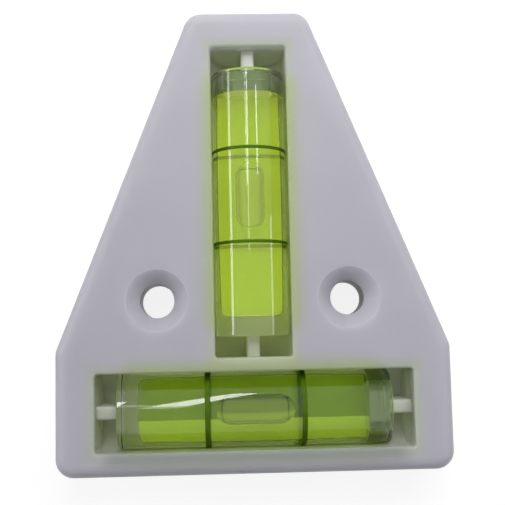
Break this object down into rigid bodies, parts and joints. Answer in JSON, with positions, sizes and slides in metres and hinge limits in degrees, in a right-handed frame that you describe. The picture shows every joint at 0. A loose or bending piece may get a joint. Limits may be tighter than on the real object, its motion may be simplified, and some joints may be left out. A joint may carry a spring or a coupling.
{
  "type": "caravan spirit level",
  "caption": "Tapered plastic plate with a bubble vial across its wide end, another upright above it, and countersunk screw holes either side.",
  "frame": {"origin": "middle of the outline on the back plane", "axes": "+X across the wide end, +Y towards the narrow end, +Z out of the face"},
  "size_m": [0.0604, 0.0716, 0.014],
  "materials": {
    "housing_plastic": "satin",
    "clear_acrylic": "gloss",
    "plug_acrylic": "gloss",
    "vial_liquid": "gloss",
    "bubble_air": "gloss",
    "ring_paint": "satin"
  },
  "bodies": {
    "level": {"housing": "housing_plastic", "cross_vial_tube": "clear_acrylic", "cross_vial_plug": "plug_acrylic", "cross_vial_liquid": "vial_liquid", "cross_ring_near": "ring_paint", "cross_ring_far": "ring_paint", "stem_vial_tube": "clear_acrylic", "stem_vial_plug": "plug_acrylic", "stem_vial_liquid": "vial_liquid", "stem_ring_near": "ring_paint", "stem_ring_far": "ring_paint"},
    "cross_air": {"cross_bubble": "bubble_air"},
    "stem_air": {"stem_bubble": "bubble_air"}
  },
  "joints": [
    {"name": "cross_bubble_run", "type": "slide", "parent": "level", "child": "cross_air", "axis": [1, 0, 0], "range_m": [-0.0117, 0.0107], "stiffness_N_per_m": 0.02, "deforming": ["cross_vial_liquid"]},
    {"name": "stem_bubble_run", "type": "slide", "parent": "level", "child": "stem_air", "axis": [0, 1, 0], "range_m": [-0.013, 0.0107], "stiffness_N_per_m": 0.02, "deforming": ["stem_vial_liquid"]}
  ]
}
